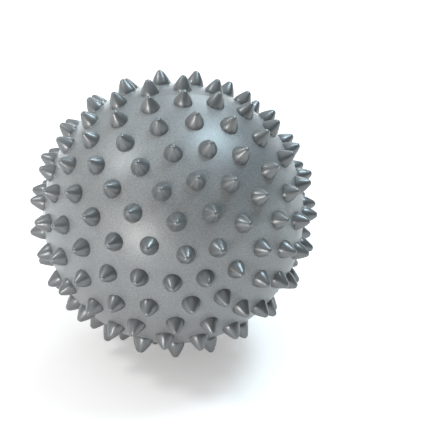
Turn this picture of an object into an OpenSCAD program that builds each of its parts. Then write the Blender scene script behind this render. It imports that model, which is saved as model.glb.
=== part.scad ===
// Spiky sensory ball: a hollow, air-filled moulded ball covered with rings of soft cones.
// The front of its wall presses in under a thumb, and a small plug closes the air hole at the back.
// The ball's centre is the origin, +Z is up, and the rings of spikes go round the Y axis,
// with the pole that is pressed at the front (-Y) and the plug at the back (+Y).

/* [Ball] */
// Diameter of the skin, between the spikes
skin_d = 80; // [70:1:120]
// Thickness of the moulded wall
wall = 2.5; // [1.8:0.1:4]

/* [Spikes] */
// Diameter of a spike where it meets the skin
spike_base_d = 5.9; // [4:0.1:6.5]
// Height of a spike above the skin
spike_h = 4.3; // [3:0.1:8]
// Radius of a spike's rounded tip
spike_tip_r = 1; // [0.5:0.05:1.3]
// Gap left under a spike's root
root_gap = 0.1; // [0.05:0.05:0.3]

/* [Pressed front] */
// Edge of the disc that goes in under a thumb, counted in ring steps from the pole
disc_edge_rings = 1.4; // [1.36:0.01:1.5]
// Edge of the band that flexes round the disc, counted in ring steps from the pole
band_edge_rings = 3.5; // [3.45:0.01:3.55]
// Width of the cuts round the disc and round the band
cut_gap = 0.2; // [0.1:0.05:0.4]

/* [Air valve] */
// Diameter of the air hole
air_hole_d = 3.6; // [2.5:0.1:5]
// Outer diameter of the neck moulded round the air hole
neck_d = 11; // [9:0.5:13]
// Length of the neck inside the wall
neck_len = 6.5; // [5:0.5:10]
// Diameter of the plug's head
plug_head_d = 8.2; // [7:0.1:9]
// Thickness of the plug's head
plug_head_t = 1.1; // [0.8:0.1:1.3]
// Length of the plug's pin below its head
plug_pin_len = 7; // [5:0.5:9]
// Clearance round the pin in its hole
pin_gap = 0.05; // [0.02:0.01:0.1]
// Clearance round and under the plug's head
head_gap = 0.15; // [0.1:0.05:0.3]

/* [Hidden] */
$fn = 64;

// Spikes on each ring of one half of the mould, from the pole to the parting line
ring_counts = [6, 11, 16, 20, 22, 25];
// Longitude of the first spike on each of those rings, anticlockwise from +X as seen from the front
ring_turns = [8.1, 18.5, 3.6, 12.1, 6.2, 3.6];
// The back half is the front one turned over, which takes each of its longitudes away from this one
turnover = 263.3;
// Rings whose spikes lean in with the flexing band
swinging_rings = [2, 3];
// Ring that rides on the pressed disc
disc_ring = 1;

half_rings = len(ring_counts);
last_ring = 2*half_rings;
ring_step = 180/(last_ring + 1);

skin_r = skin_d/2;
inner_r = skin_r - wall;
disc_r = skin_r*sin(disc_edge_rings*ring_step);
band_r = skin_r*sin(band_edge_rings*ring_step);
beyond = skin_r + spike_h;

// A spike is a straight cone that runs tangent into its round tip
base_r = spike_base_d/2;
base_z = sqrt(skin_r*skin_r - base_r*base_r);
tip_z = skin_r + spike_h - spike_tip_r;
flank_angle = acos(spike_tip_r/norm([base_r, tip_z - base_z])) - atan2(tip_z - base_z, base_r);
tangent_r = spike_tip_r*cos(flank_angle);
tangent_z = tip_z + spike_tip_r*sin(flank_angle);
// Half section of its flanks, on an underside that is hollowed to clear the round of the skin
flank_section = [
    [0, skin_r + root_gap],
    [base_r, base_z + root_gap],
    [tangent_r, tangent_z],
    [0, tangent_z]
];

// The plug's head lies flush in a round recess in the back of the skin
head_r = plug_head_d/2;
recess_r = head_r + head_gap;
head_top_z = sqrt(skin_r*skin_r - recess_r*recess_r);
head_under_z = head_top_z - plug_head_t;
recess_floor_z = head_under_z - head_gap;
neck_end_z = inner_r - neck_len;
pin_r = air_hole_d/2 - pin_gap;
pin_end_z = head_under_z - plug_pin_len;

skin_grey = [0.47, 0.49, 0.51];
spike_grey = [0.41, 0.43, 0.45];
plug_grey = [0.62, 0.63, 0.64];

function two_digits(n) = str(n < 10 ? "0" : "", n);
function ring_name(ring) = str("spike_ring_", two_digits(ring));
function spike_name(ring, i) = str("spike_", two_digits(ring), "_", two_digits(i + 1));
function swings(ring) = len(search(ring, swinging_rings)) > 0;

// Both halves of the mould carry the same rings, with the parting line between them
function in_front(ring) = ring <= half_rings;
function mould_ring(ring) = (in_front(ring) ? ring : last_ring + 1 - ring) - 1;
function spike_count(ring) = ring_counts[mould_ring(ring)];
function mould_turn(ring, i) = ring_turns[mould_ring(ring)] + i*360/spike_count(ring);
function spike_turn(ring, i) = in_front(ring) ? mould_turn(ring, i) : turnover - mould_turn(ring, i);

fixed_rings = [for (ring = [disc_ring + 1:last_ring]) if (!swings(ring)) ring];

// The mould's own axis, with the pressed pole on top, laid down to face the front
module facing_front() {
    rotate([90, 0, 0]) children();
}

module wall_shell() {
    difference() {
        sphere(r = skin_r);
        sphere(r = inner_r);
    }
}

// Everything within a radius of the mould's axis, on the pressed side
module front_core(radius) {
    cylinder(r = radius, h = beyond);
}

// Neck round the air hole, from inside the wall inwards
module neck() {
    translate([0, 0, -(skin_r - wall/2)])
        cylinder(d = neck_d, h = skin_r - wall/2 - neck_end_z);
}

module air_hole() {
    translate([0, 0, -beyond]) cylinder(d = air_hole_d, h = beyond);
}

module head_recess() {
    translate([0, 0, -beyond]) cylinder(r = recess_r, h = beyond - recess_floor_z);
}

module skin() {
    color(skin_grey) facing_front() difference() {
        union() {
            wall_shell();
            neck();
        }
        front_core(band_r);
        air_hole();
        head_recess();
    }
}

module flex_band() {
    color(skin_grey) facing_front() difference() {
        intersection() {
            wall_shell();
            front_core(band_r - cut_gap);
        }
        front_core(disc_r);
    }
}

module press_disc() {
    color(skin_grey) facing_front() intersection() {
        wall_shell();
        front_core(disc_r - cut_gap);
    }
}

// One spike on the mould's axis
module upright_spike() {
    rotate_extrude() polygon(flank_section);
    translate([0, 0, tip_z]) sphere(r = spike_tip_r);
}

module spike(ring, i) {
    color(spike_grey) facing_front()
        rotate([0, ring*ring_step, spike_turn(ring, i)]) upright_spike();
}

module pole_spike() {
    color(spike_grey) facing_front() upright_spike();
}

module spike_ring(ring) {
    for (i = [0:spike_count(ring) - 1]) spike(ring, i);
}

module valve_plug() {
    color(plug_grey) facing_front() {
        translate([0, 0, -head_top_z]) cylinder(r = head_r, h = plug_head_t);
        translate([0, 0, -head_under_z]) cylinder(r = pin_r, h = head_under_z - pin_end_z - pin_r);
        translate([0, 0, -pin_end_z - pin_r]) sphere(r = pin_r);
    }
}

skin();
flex_band();
press_disc();
valve_plug();
pole_spike();
spike_ring(disc_ring);
for (ring = fixed_rings)
    spike_ring(ring);
for (ring = swinging_rings)
    for (i = [0:spike_count(ring) - 1])
        spike(ring, i);
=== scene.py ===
import math

import bpy
import numpy as np
from mathutils import Matrix, Vector, noise

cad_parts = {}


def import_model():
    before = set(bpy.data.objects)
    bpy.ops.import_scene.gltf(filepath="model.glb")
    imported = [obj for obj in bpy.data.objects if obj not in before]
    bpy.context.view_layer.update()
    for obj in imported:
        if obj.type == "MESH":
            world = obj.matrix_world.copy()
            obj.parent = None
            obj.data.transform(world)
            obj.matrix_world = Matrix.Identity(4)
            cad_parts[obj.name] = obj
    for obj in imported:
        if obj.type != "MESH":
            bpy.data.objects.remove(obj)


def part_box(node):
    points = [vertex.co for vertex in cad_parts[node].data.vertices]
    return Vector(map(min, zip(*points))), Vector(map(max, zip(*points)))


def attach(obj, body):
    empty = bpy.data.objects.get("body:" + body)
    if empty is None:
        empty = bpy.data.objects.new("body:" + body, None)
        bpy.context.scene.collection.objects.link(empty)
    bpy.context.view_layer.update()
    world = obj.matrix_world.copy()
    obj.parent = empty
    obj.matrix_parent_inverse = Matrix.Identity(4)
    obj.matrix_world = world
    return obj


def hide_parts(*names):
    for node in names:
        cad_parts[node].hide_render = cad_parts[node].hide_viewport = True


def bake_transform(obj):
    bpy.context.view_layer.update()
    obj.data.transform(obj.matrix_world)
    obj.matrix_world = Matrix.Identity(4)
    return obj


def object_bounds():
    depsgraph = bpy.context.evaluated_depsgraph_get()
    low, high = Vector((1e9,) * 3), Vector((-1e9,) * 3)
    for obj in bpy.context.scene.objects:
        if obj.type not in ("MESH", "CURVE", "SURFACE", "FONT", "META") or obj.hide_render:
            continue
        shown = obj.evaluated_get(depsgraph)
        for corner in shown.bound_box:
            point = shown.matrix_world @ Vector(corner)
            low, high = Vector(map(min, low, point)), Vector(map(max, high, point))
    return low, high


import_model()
cad_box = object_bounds()

MM = 0.001

# Sizes that come from the frame
SKIN_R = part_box("skin")[1].x
TIP_R = -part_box("pole_spike")[0].y
BASE_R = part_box("pole_spike")[1].x
PLUG_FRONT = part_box("valve_plug")[0].y
PLUG_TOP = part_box("valve_plug")[1].y
PLUG_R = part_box("valve_plug")[1].x
FLOOR_Z = cad_box[0].z

# The rings of spikes: how many on each ring of one half, and the longitude of each ring's first one
RING_COUNTS = (6, 11, 16, 20, 22, 25)
RING_TURNS = (8.1, 18.5, 3.6, 12.1, 6.2, 3.6)
# The back half is the front one turned over, which takes each of its longitudes away from this one
TURNOVER = 263.3
LAST_RING = 2*len(RING_COUNTS)
RING_STEP = math.radians(180/(LAST_RING + 1))
DISC_RING = 1
SWINGING_RINGS = (2, 3)

# Spike
TIP_ROUND = 1.15*MM
TIP_TANGENT = math.radians(34)
ROOT_FILLET = 0.15*MM
ROOT_SINK = 0.08*MM
# The root goes on under the skin, a little wider, so that it stays closed where the skin bends away from it
ROOT_TAPER = 0.3*MM
ROOT_DEPTH = 1.8*MM
SPIKE_SIDES = 32
FLANK_STEPS = 18
TIP_STEPS = 6
FILLET_STEPS = 3
SPIKE_WAVE = 0.012*MM
SPIKE_WAVE_LENGTH = 1.6*MM
TURNING_MARK = 0.006*MM
TURNING_PITCH = 0.33*MM

# Skin
SKIN_SIDES = 256
SKIN_STEP = math.radians(1.4)
SEAM_HALF_WIDTH = 0.45*MM
SEAM_HEIGHT = 0.05*MM
SEAM_STEPS = 6
SKIN_WAVE = 0.05*MM
SKIN_WAVE_LENGTH = 16*MM
RECESS_GAP = 0.15*MM
RECESS_LIP = 0.35*MM
LIP_STEPS = 5
HOLE_R = 1.8*MM
HOLE_DEPTH = 9*MM

# Plug
PLUG_HEAD_T = 1.1*MM
PLUG_PIN_R = 1.75*MM
PLUG_PIN_STEPS = 8
PLUG_EDGE = 0.28*MM
PLUG_EDGE_STEPS = 4
PLUG_SIDES = 64
# The dish in its head runs in to the foot of a nub
DISH_R = 2.7*MM
DISH_DEPTH = 0.5*MM
DISH_STEPS = 6
NUB_R = 0.7*MM
NUB_HEIGHT = 0.35*MM
NUB_FOOT_R = 1.8*NUB_R
# Outline of the nub, in shares of its radius and height
NUB_OUTLINE = ((1.25, 0), (1, 0.6), (0.7, 0.95), (0, 1))

# The mould's own axis, Z, laid down to the front or to the back
FACING_FRONT = Matrix.Rotation(math.pi/2, 3, "X")
FACING_BACK = Matrix.Rotation(-math.pi/2, 3, "X")

# Noise lies mostly between these two values, about the middle one
NOISE_LOW = 0.3
NOISE_MIDDLE = 0.5
NOISE_HIGH = 0.7

# Finish of the skin: two tones of a mottle, and a grain whose hollows are darkened with painted shade
SKIN_TONES = ((0.293, 0.299, 0.301), (0.316, 0.321, 0.322))
SKIN_MOTTLE = 14*MM
SKIN_GRAIN = 0.38*MM
SKIN_GRAIN_HEIGHT = 0.065*MM
# Share of the tone left in the grain's hollows: painted shade, not a colour of the plastic
SKIN_PAINTED_HOLLOW_SHADE = (0.7, 0.7, 0.7)
SKIN_ROUGHNESS = (0.33, 0.41)
SKIN_METALLIC = 0.2
# Behind the parting line this share of the grain is gone, over a step of twice the blur
BACK_SMOOTHING = 0.7
BACK_ROUGHNESS = 0.25
BACK_BLUR = 0.2*MM

# Finish of the spikes
SPIKE_TONES = ((0.119, 0.124, 0.127), (0.131, 0.136, 0.139))
SPIKE_MOTTLE = 6*MM
SPIKE_RIPPLE = 0.5*MM
SPIKE_RIPPLE_HEIGHT = 0.008*MM
SPIKE_ROUGHNESS = (0.29, 0.36)
SPIKE_METALLIC = 0.1
SPIKE_IOR = 1.95

# Finish of the plug
PLUG_TONES = ((0.325, 0.335, 0.34), (0.375, 0.385, 0.39))
PLUG_MOTTLE = 2.5*MM
PLUG_GRAIN = 0.25*MM
PLUG_GRAIN_HEIGHT = 0.02*MM
PLUG_GRAIN_STRENGTH = 0.4
PLUG_ROUGHNESS = (0.42, 0.56)

# Floor, a little warm because the lamps are a little blue
FLOOR_SIZE = 8
FLOOR_TONE = (0.90, 0.86, 0.845)
FLOOR_ROUGHNESS = 0.9
FLOOR_SPECULAR = 0.1
# Its own brightness where it is seen, near the ball and far off where the lamps don't reach
FLOOR_LIFT_TONE = (1, 1, 1)
FLOOR_LIFT_NEAR = 0.33
FLOOR_LIFT_FAR = 1.0
NEAR_FLOOR = 0.5
FAR_FLOOR = 1.5

# The surround is bright on one side, above and behind the ball, and dim elsewhere
BRIGHT_SIDE = Vector((-0.28, 0.32, 0.87)).normalized()
DIM_LEVEL = 0.03
BRIGHT_LEVEL = 1.0
SURROUND_TONE = (0.92, 0.98, 1.0)
# Cosines of the angles from the bright side at which it fades out and at which it is full
BRIGHT_EDGE = 0.2
BRIGHT_CORE = 0.9
# Where it is seen, the surround goes on as white as the floor up to the first of these sines of the angle
# above the horizon, and fades out at the second
HORIZON_LEVEL = 1.1
HORIZON_FULL = 0.14
HORIZON_END = 0.22

# View of the photograph, in pixels, millimetres of sensor, and metres from the ball's centre
IMAGE_SIZE = 430
BALL_PIXEL = (173.6, 213.3)
FOCAL_PIXELS = 1819
SENSOR = 36
VIEW_AZIMUTH = math.radians(-14.61)
VIEW_ELEVATION = math.radians(28.07)
VIEW_ROLL = math.radians(2.77)
VIEW_DISTANCE = 0.56


# Shared shapes

def linked_object(name, data):
    obj = bpy.data.objects.new(name, data)
    bpy.context.scene.collection.objects.link(obj)
    return obj


def smooth_object(name, vertices, faces, material):
    mesh = bpy.data.meshes.new(name)
    mesh.from_pydata([tuple(v) for v in vertices], [], faces)
    mesh.polygons.foreach_set("use_smooth", [True]*len(mesh.polygons))
    mesh.materials.append(material)
    mesh.validate()
    mesh.update()
    return linked_object(name, mesh)


def lathe(profile, sides):
    """Vertices and faces of a closed surface about Z, from (radius, z) points that run from pole to pole."""
    turns = np.arange(sides)*2*math.pi/sides
    ring = np.stack([np.cos(turns), np.sin(turns)], 1)
    vertices = [(0, 0, profile[0][1])]
    faces = []
    for radius, z in profile[1:-1]:
        vertices += [(radius*x, radius*y, z) for x, y in ring]
    vertices.append((0, 0, profile[-1][1]))
    last = len(vertices) - 1
    rows = len(profile) - 2
    for i in range(sides):
        j = (i + 1) % sides
        faces.append((0, 1 + j, 1 + i))
        for row in range(rows - 1):
            a = 1 + row*sides
            b = a + sides
            faces.append((a + i, a + j, b + j, b + i))
        top = 1 + (rows - 1)*sides
        faces.append((top + i, top + j, last))
    return np.array(vertices, float), faces


def turned(vertices, rotation):
    return vertices @ np.array(rotation).T


def arc(centre, radius, start, end, steps):
    """Points of an arc in the (radius, z) plane, both ends included, angles from the radius axis."""
    angles = [start + (end - start)*k/steps for k in range(steps + 1)]
    return [(centre[0] + radius*math.cos(a), centre[1] + radius*math.sin(a)) for a in angles]


def wave(point, length, height):
    """A small unevenness of that height along a surface, with that wavelength."""
    return height*noise.noise(Vector(point)/length)


# Spikes

def spike_profile():
    """A blunt cone with slightly full flanks, rounded at its tip and filleted at its root."""
    base_z = math.sqrt(SKIN_R**2 - BASE_R**2) - ROOT_SINK
    tip_centre = (0, TIP_R - TIP_ROUND)
    tip = arc(tip_centre, TIP_ROUND, TIP_TANGENT, math.pi/2, TIP_STEPS)
    start = Vector((BASE_R - ROOT_FILLET, base_z + ROOT_FILLET))
    end = Vector(tip[0])
    shoulder_z = end.y - (start.x - end.x)/math.tan(TIP_TANGENT)
    shoulder = Vector((start.x, shoulder_z))
    flank = []
    for k in range(FLANK_STEPS):
        t = k/FLANK_STEPS
        radius, z = (1 - t)**2*start + 2*t*(1 - t)*shoulder + t**2*end
        flank.append((radius + wave((0, 0, z), TURNING_PITCH, TURNING_MARK), z))
    fillet_centre = (BASE_R, base_z + ROOT_FILLET)
    fillet = arc(fillet_centre, ROOT_FILLET, 1.5*math.pi, math.pi, FILLET_STEPS)[:-1]
    foot_z = base_z - ROOT_DEPTH
    foot = [(0, foot_z), (BASE_R + ROOT_TAPER, foot_z)]
    return foot + fillet + flank + tip[:-1] + [(0, TIP_R)]


SPIKE_VERTICES, SPIKE_FACES = lathe(spike_profile(), SPIKE_SIDES)


def mould_ring(ring):
    return min(ring, LAST_RING + 1 - ring) - 1


def spike_count(ring):
    return RING_COUNTS[mould_ring(ring)]


def spike_turn(ring, i):
    turn = RING_TURNS[mould_ring(ring)] + i*360/spike_count(ring)
    return math.radians(turn if ring <= len(RING_COUNTS) else TURNOVER - turn)


def placed_spike(ring, i):
    """One spike's vertices where it stands on the ball, with a little unevenness in its flanks."""
    around = Matrix.Rotation(spike_turn(ring, i), 3, "Z")
    down = Matrix.Rotation(ring*RING_STEP, 3, "Y")
    place = FACING_FRONT @ around @ down
    placed = turned(SPIKE_VERTICES, place)
    axis = np.array(place.col[2])
    out = placed - np.outer(placed @ axis, axis)
    widths = np.linalg.norm(out, axis=1)
    for k, width in enumerate(widths):
        if width > TIP_ROUND/2:
            placed[k] += out[k]/width*wave(placed[k], SPIKE_WAVE_LENGTH, SPIKE_WAVE)
    return placed


def spike_piece(node, places, body, material):
    """The spikes of one node, at their (ring, number) places."""
    vertices = []
    faces = []
    for ring, i in places:
        offset = len(vertices)
        vertices += list(placed_spike(ring, i))
        faces += [tuple(offset + k for k in face) for face in SPIKE_FACES]
    piece = smooth_object(node + "_moulded", vertices, faces, material)
    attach(piece, body)
    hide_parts(node)


def spikes(material):
    spike_piece("pole_spike", [(0, 0)], "press_disc", material)
    for ring in range(1, LAST_RING + 1):
        places = [(ring, i) for i in range(spike_count(ring))]
        if ring in SWINGING_RINGS:
            for place in places:
                node = f"spike_{ring:02d}_{place[1] + 1:02d}"
                spike_piece(node, [place], node, material)
        else:
            body = "press_disc" if ring == DISC_RING else "ball"
            spike_piece(f"spike_ring_{ring:02d}", places, body, material)


# Skin

def seam_rise(distance):
    """Height of the fine ridge along the parting line, by the distance from it."""
    across = min(1, abs(distance)/SEAM_HALF_WIDTH)
    return SEAM_HEIGHT*(1 - across**2)**2


def skin_profile():
    """Half outline of the skin, from the end of the air hole over the plug's recess to the front pole."""
    recess_r = PLUG_R + RECESS_GAP
    recess_floor = -(PLUG_TOP - PLUG_HEAD_T - RECESS_GAP)
    hole_end = recess_floor + HOLE_DEPTH
    points = [
        (0, hole_end),
        (HOLE_R, hole_end),
        (HOLE_R, recess_floor + RECESS_GAP),
        (HOLE_R + RECESS_GAP, recess_floor),
        (recess_r, recess_floor),
    ]
    lip_r = recess_r + RECESS_LIP
    lip_turn = math.asin(lip_r/SKIN_R)
    lip_centre = (lip_r, RECESS_LIP - SKIN_R*math.cos(lip_turn))
    points += arc(lip_centre, RECESS_LIP, -math.pi, -math.pi/2, LIP_STEPS)
    seam_turn = SEAM_HALF_WIDTH/SKIN_R
    before = np.arange(math.pi - lip_turn - SKIN_STEP, math.pi/2 + seam_turn, -SKIN_STEP)
    across = math.pi/2 + np.linspace(seam_turn, -seam_turn, 2*SEAM_STEPS + 1)
    after = np.arange(math.pi/2 - seam_turn - SKIN_STEP/2, SKIN_STEP/2, -SKIN_STEP)
    for turn in [*before, *across, *after]:
        radius = SKIN_R + seam_rise((turn - math.pi/2)*SKIN_R)
        points.append((radius*math.sin(turn), radius*math.cos(turn)))
    return points + [(0, SKIN_R)]


def skin(material):
    vertices, faces = lathe(skin_profile(), SKIN_SIDES)
    placed = turned(vertices, FACING_FRONT)
    for k, point in enumerate(placed):
        reach = np.linalg.norm(point)
        if reach > SKIN_R - SEAM_HEIGHT:
            placed[k] += point/reach*wave(point, SKIN_WAVE_LENGTH, SKIN_WAVE)
    piece = smooth_object("moulded_skin", placed, faces, material)
    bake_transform(piece)
    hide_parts("skin", "flex_band", "press_disc")


# Plug

def plug_profile():
    """Half outline of the plug, from the end of its pin to the middle of its dished head."""
    under = PLUG_TOP - PLUG_HEAD_T
    rim_r = PLUG_R - PLUG_EDGE
    dish_floor = PLUG_TOP - DISH_DEPTH
    points = arc((0, PLUG_FRONT + PLUG_PIN_R), PLUG_PIN_R, -math.pi/2, 0, PLUG_PIN_STEPS)
    points.append((PLUG_PIN_R, under - PLUG_EDGE))
    neck = (PLUG_PIN_R + PLUG_EDGE, under - PLUG_EDGE)
    points += arc(neck, PLUG_EDGE, math.pi, math.pi/2, PLUG_EDGE_STEPS)
    points += arc((rim_r, under + PLUG_EDGE), PLUG_EDGE, -math.pi/2, 0, PLUG_EDGE_STEPS)
    points += arc((rim_r, PLUG_TOP - PLUG_EDGE), PLUG_EDGE, 0, math.pi/2, PLUG_EDGE_STEPS)
    for k in range(DISH_STEPS + 1):
        t = k/DISH_STEPS
        ease = t*t*(3 - 2*t)
        points.append((DISH_R + (NUB_FOOT_R - DISH_R)*t, PLUG_TOP - DISH_DEPTH*ease))
    return points + [(NUB_R*out, dish_floor + NUB_HEIGHT*up) for out, up in NUB_OUTLINE]


def plug(material):
    vertices, faces = lathe(plug_profile(), PLUG_SIDES)
    piece = smooth_object("moulded_plug", turned(vertices, FACING_BACK), faces, material)
    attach(piece, "valve_plug")
    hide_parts("valve_plug")


# Materials

class Nodes:
    """Adds and links the nodes of a material or of the world."""

    # Places of a mix node's factor, its two inputs and its output, by the kind of value that it mixes
    MIX_SOCKETS = {"FLOAT": (0, 2, 3, 0), "RGBA": (0, 6, 7, 2)}

    def __init__(self, owner):
        owner.use_nodes = True
        self.tree = owner.node_tree

    def put(self, socket, value):
        """Links the socket to another node's output, or sets it to a plain value."""
        if isinstance(value, bpy.types.NodeSocket):
            self.tree.links.new(value, socket)
        elif socket.type == "RGBA":
            socket.default_value = (*value, 1)
        else:
            socket.default_value = value

    def fill(self, node, **inputs):
        """Sets or links a node's inputs by their names, with _ for a space."""
        for name, value in inputs.items():
            self.put(node.inputs[name.replace("_", " ")], value)
        return node

    def add(self, kind, **inputs):
        return self.fill(self.tree.nodes.new(kind), **inputs)

    def shade(self, **inputs):
        """Sets or links the inputs of a material's shader."""
        self.fill(self.tree.nodes["Principled BSDF"], **inputs)

    def operate(self, kind, operation, values):
        node = self.tree.nodes.new(kind)
        node.operation = operation
        for socket, value in zip(node.inputs, values):
            self.put(socket, value)
        return node.outputs["Value"]

    def math(self, operation, *values):
        return self.operate("ShaderNodeMath", operation, values)

    def vector_math(self, operation, *values):
        return self.operate("ShaderNodeVectorMath", operation, values)

    def place(self):
        """The point's place in its object."""
        return self.add("ShaderNodeTexCoord").outputs["Object"]

    def noise(self, size, detail, roughness=0.5):
        """Noise with features of that size in metres."""
        node = self.add("ShaderNodeTexNoise", Vector=self.place(), Scale=1/size)
        self.fill(node, Detail=detail, Roughness=roughness)
        return node.outputs["Fac"]

    def span(self, value, low, high, to_low, to_high):
        """The value carried from one range to another, and held at its ends."""
        node = self.add("ShaderNodeMapRange", Value=value)
        self.fill(node, From_Min=low, From_Max=high, To_Min=to_low, To_Max=to_high)
        return node.outputs["Result"]

    def spread(self, value, to_low, to_high):
        """Noise spread over a range."""
        return self.span(value, NOISE_LOW, NOISE_HIGH, to_low, to_high)

    def mix(self, factor, first, second, kind="RGBA", blend="MIX"):
        node = self.tree.nodes.new("ShaderNodeMix")
        node.data_type = kind
        node.blend_type = blend
        *inputs, output = self.MIX_SOCKETS[kind]
        for socket, value in zip(inputs, (factor, first, second)):
            self.put(node.inputs[socket], value)
        return node.outputs[output]

    def bump(self, height, distance, strength=1.0):
        node = self.add("ShaderNodeBump", Height=height, Distance=distance, Strength=strength)
        return node.outputs["Normal"]

    def seen(self):
        """1 for what the camera sees, straight or in a reflection, and 0 for what lights the object."""
        path = self.add("ShaderNodeLightPath").outputs
        straight_or_reflected = self.math("MAXIMUM", path["Is Camera Ray"], path["Is Glossy Ray"])
        return self.math("MAXIMUM", straight_or_reflected, path["Is Transmission Ray"])


def skin_material():
    """Soft grey plastic: a fine satin grain on the front half, and a smoother finish on the back half."""
    material = bpy.data.materials.new("satin_grey_skin")
    n = Nodes(material)
    along = n.add("ShaderNodeSeparateXYZ", Vector=n.place()).outputs["Y"]
    behind = n.span(along, -BACK_BLUR, BACK_BLUR, 0, 1)
    smoothing = n.math("MULTIPLY", behind, BACK_SMOOTHING)
    grain = n.mix(smoothing, n.noise(SKIN_GRAIN, detail=1), NOISE_MIDDLE, kind="FLOAT")
    mottle = n.spread(n.noise(SKIN_MOTTLE, detail=3), 0, 1)
    tone = n.mix(mottle, *SKIN_TONES)
    # Painted shade: the tone is darkened where the grain, which is also the bump's height, is low
    painted_hollow_shade_tone = n.mix(1.0, tone, SKIN_PAINTED_HOLLOW_SHADE, blend="MULTIPLY")
    n.shade(
        Base_Color=n.mix(n.spread(grain, 0, 1), painted_hollow_shade_tone, tone),
        Roughness=n.mix(behind, n.spread(grain, *SKIN_ROUGHNESS), BACK_ROUGHNESS, kind="FLOAT"),
        Normal=n.bump(grain, SKIN_GRAIN_HEIGHT),
        Metallic=SKIN_METALLIC,
    )
    return material


def spike_material():
    """The same plastic from polished mould cavities: darker, smoother and glossier, with faint ripples."""
    material = bpy.data.materials.new("glossy_grey_spikes")
    n = Nodes(material)
    mottle = n.spread(n.noise(SPIKE_MOTTLE, detail=3), 0, 1)
    ripple = n.noise(SPIKE_RIPPLE, detail=2, roughness=0.55)
    n.shade(
        Base_Color=n.mix(mottle, *SPIKE_TONES),
        Roughness=n.spread(ripple, *SPIKE_ROUGHNESS),
        Normal=n.bump(ripple, SPIKE_RIPPLE_HEIGHT),
        Metallic=SPIKE_METALLIC,
        IOR=SPIKE_IOR,
    )
    return material


def plug_material():
    """Harder, paler plastic with a dull moulded finish."""
    material = bpy.data.materials.new("matte_plug_plastic")
    n = Nodes(material)
    mottle = n.spread(n.noise(PLUG_MOTTLE, detail=4), 0, 1)
    grain = n.noise(PLUG_GRAIN, detail=2)
    n.shade(
        Base_Color=n.mix(mottle, *PLUG_TONES),
        Roughness=n.spread(grain, *PLUG_ROUGHNESS),
        Normal=n.bump(grain, PLUG_GRAIN_HEIGHT, PLUG_GRAIN_STRENGTH),
    )
    return material


def floor_material():
    """Pale and dull, with a brightness of its own where it is seen, which grows away from the ball."""
    material = bpy.data.materials.new("pale_floor")
    n = Nodes(material)
    reach = n.vector_math("LENGTH", n.place())
    lift = n.span(reach, NEAR_FLOOR, FAR_FLOOR, FLOOR_LIFT_NEAR, FLOOR_LIFT_FAR)
    n.shade(
        Base_Color=FLOOR_TONE,
        Roughness=FLOOR_ROUGHNESS,
        Specular_IOR_Level=FLOOR_SPECULAR,
        Emission_Color=FLOOR_LIFT_TONE,
        Emission_Strength=n.math("MULTIPLY", n.seen(), lift),
    )
    return material


# Stage

def floor(material):
    half = FLOOR_SIZE/2
    corners = [(x, y, FLOOR_Z) for x, y in ((-half, -half), (half, -half), (half, half), (-half, half))]
    mesh = bpy.data.meshes.new("floor")
    mesh.from_pydata(corners, [], [(0, 1, 2, 3)])
    mesh.materials.append(material)
    linked_object("floor", mesh)


def world():
    surround = bpy.data.worlds.new("white_surround")
    bpy.context.scene.world = surround
    n = Nodes(surround)
    direction = n.add("ShaderNodeTexCoord").outputs["Generated"]
    side = n.vector_math("DOT_PRODUCT", direction, BRIGHT_SIDE)
    level = n.span(side, BRIGHT_EDGE, BRIGHT_CORE, DIM_LEVEL, BRIGHT_LEVEL)
    height = n.add("ShaderNodeSeparateXYZ", Vector=direction).outputs["Z"]
    horizon = n.span(height, HORIZON_FULL, HORIZON_END, HORIZON_LEVEL, 0)
    white = n.math("MULTIPLY", n.seen(), horizon)
    n.fill(n.tree.nodes["Background"], Color=SURROUND_TONE, Strength=n.math("MAXIMUM", level, white))


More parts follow.
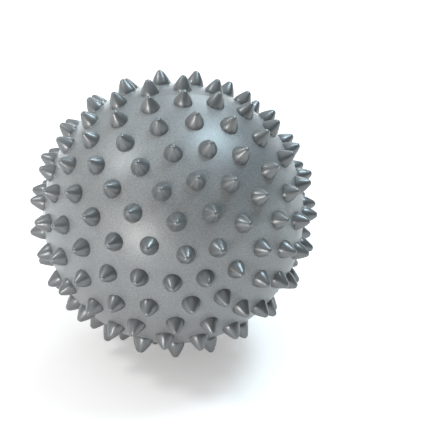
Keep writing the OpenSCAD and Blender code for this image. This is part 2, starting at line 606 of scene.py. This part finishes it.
def softbox(name, direction, distance, size, power, colour):
    """A square lamp that faces the ball from that direction, in metres and watts."""
    lamp = bpy.data.lights.new(name, "AREA")
    lamp.shape = "SQUARE"
    lamp.size = size
    lamp.energy = power
    lamp.color = colour
    obj = linked_object(name, lamp)
    away = Vector(direction).normalized()
    obj.location = away*distance
    obj.rotation_mode = "QUATERNION"
    obj.rotation_quaternion = away.to_track_quat("Z", "Y")


def lamps():
    softbox("upper_right_lamp", direction=(0.45, 0.12, 0.88), distance=2, size=0.66,
            power=22.5, colour=(0.66, 0.88, 1.0))
    softbox("upper_left_lamp", direction=(-0.65, 0.12, 0.75), distance=2, size=0.34,
            power=9.5, colour=(0.95, 0.985, 1.0))
    softbox("back_lamp", direction=(0.38, 0.76, 0.52), distance=2, size=0.6,
            power=7, colour=(0.8, 0.94, 1.0))
    softbox("low_left_lamp", direction=(-0.92, -0.35, 0.2), distance=1.2, size=0.4,
            power=0.8, colour=(1.0, 0.97, 0.94))
    softbox("low_front_lamp", direction=(-0.66, -0.74, 0.1), distance=1.2, size=0.28,
            power=5.3, colour=(1.0, 0.98, 0.96))


def camera():
    """The photograph's camera, aimed a little past the ball to put it where the photograph has it."""
    back = Vector((
        math.sin(VIEW_AZIMUTH)*math.cos(VIEW_ELEVATION),
        -math.cos(VIEW_AZIMUTH)*math.cos(VIEW_ELEVATION),
        math.sin(VIEW_ELEVATION),
    ))
    level = back.to_track_quat("Z", "Y") @ Matrix.Rotation(VIEW_ROLL, 3, "Z").to_quaternion()
    past_right = math.atan((IMAGE_SIZE/2 - BALL_PIXEL[0])/FOCAL_PIXELS)
    past_down = math.atan((IMAGE_SIZE/2 - BALL_PIXEL[1])/FOCAL_PIXELS)
    aim = Matrix.Rotation(-past_right, 3, "Y") @ Matrix.Rotation(-past_down, 3, "X")
    data = bpy.data.cameras.new("photo_view")
    data.sensor_width = SENSOR
    data.lens = FOCAL_PIXELS*SENSOR/IMAGE_SIZE
    obj = linked_object("photo_view", data)
    obj.location = back*VIEW_DISTANCE
    obj.rotation_mode = "QUATERNION"
    obj.rotation_quaternion = level @ aim.to_quaternion()
    bpy.context.scene.camera = obj


skin(skin_material())
spikes(spike_material())
plug(plug_material())
floor(floor_material())
world()
lamps()
camera()
bpy.context.scene.view_settings.view_transform = "Standard"
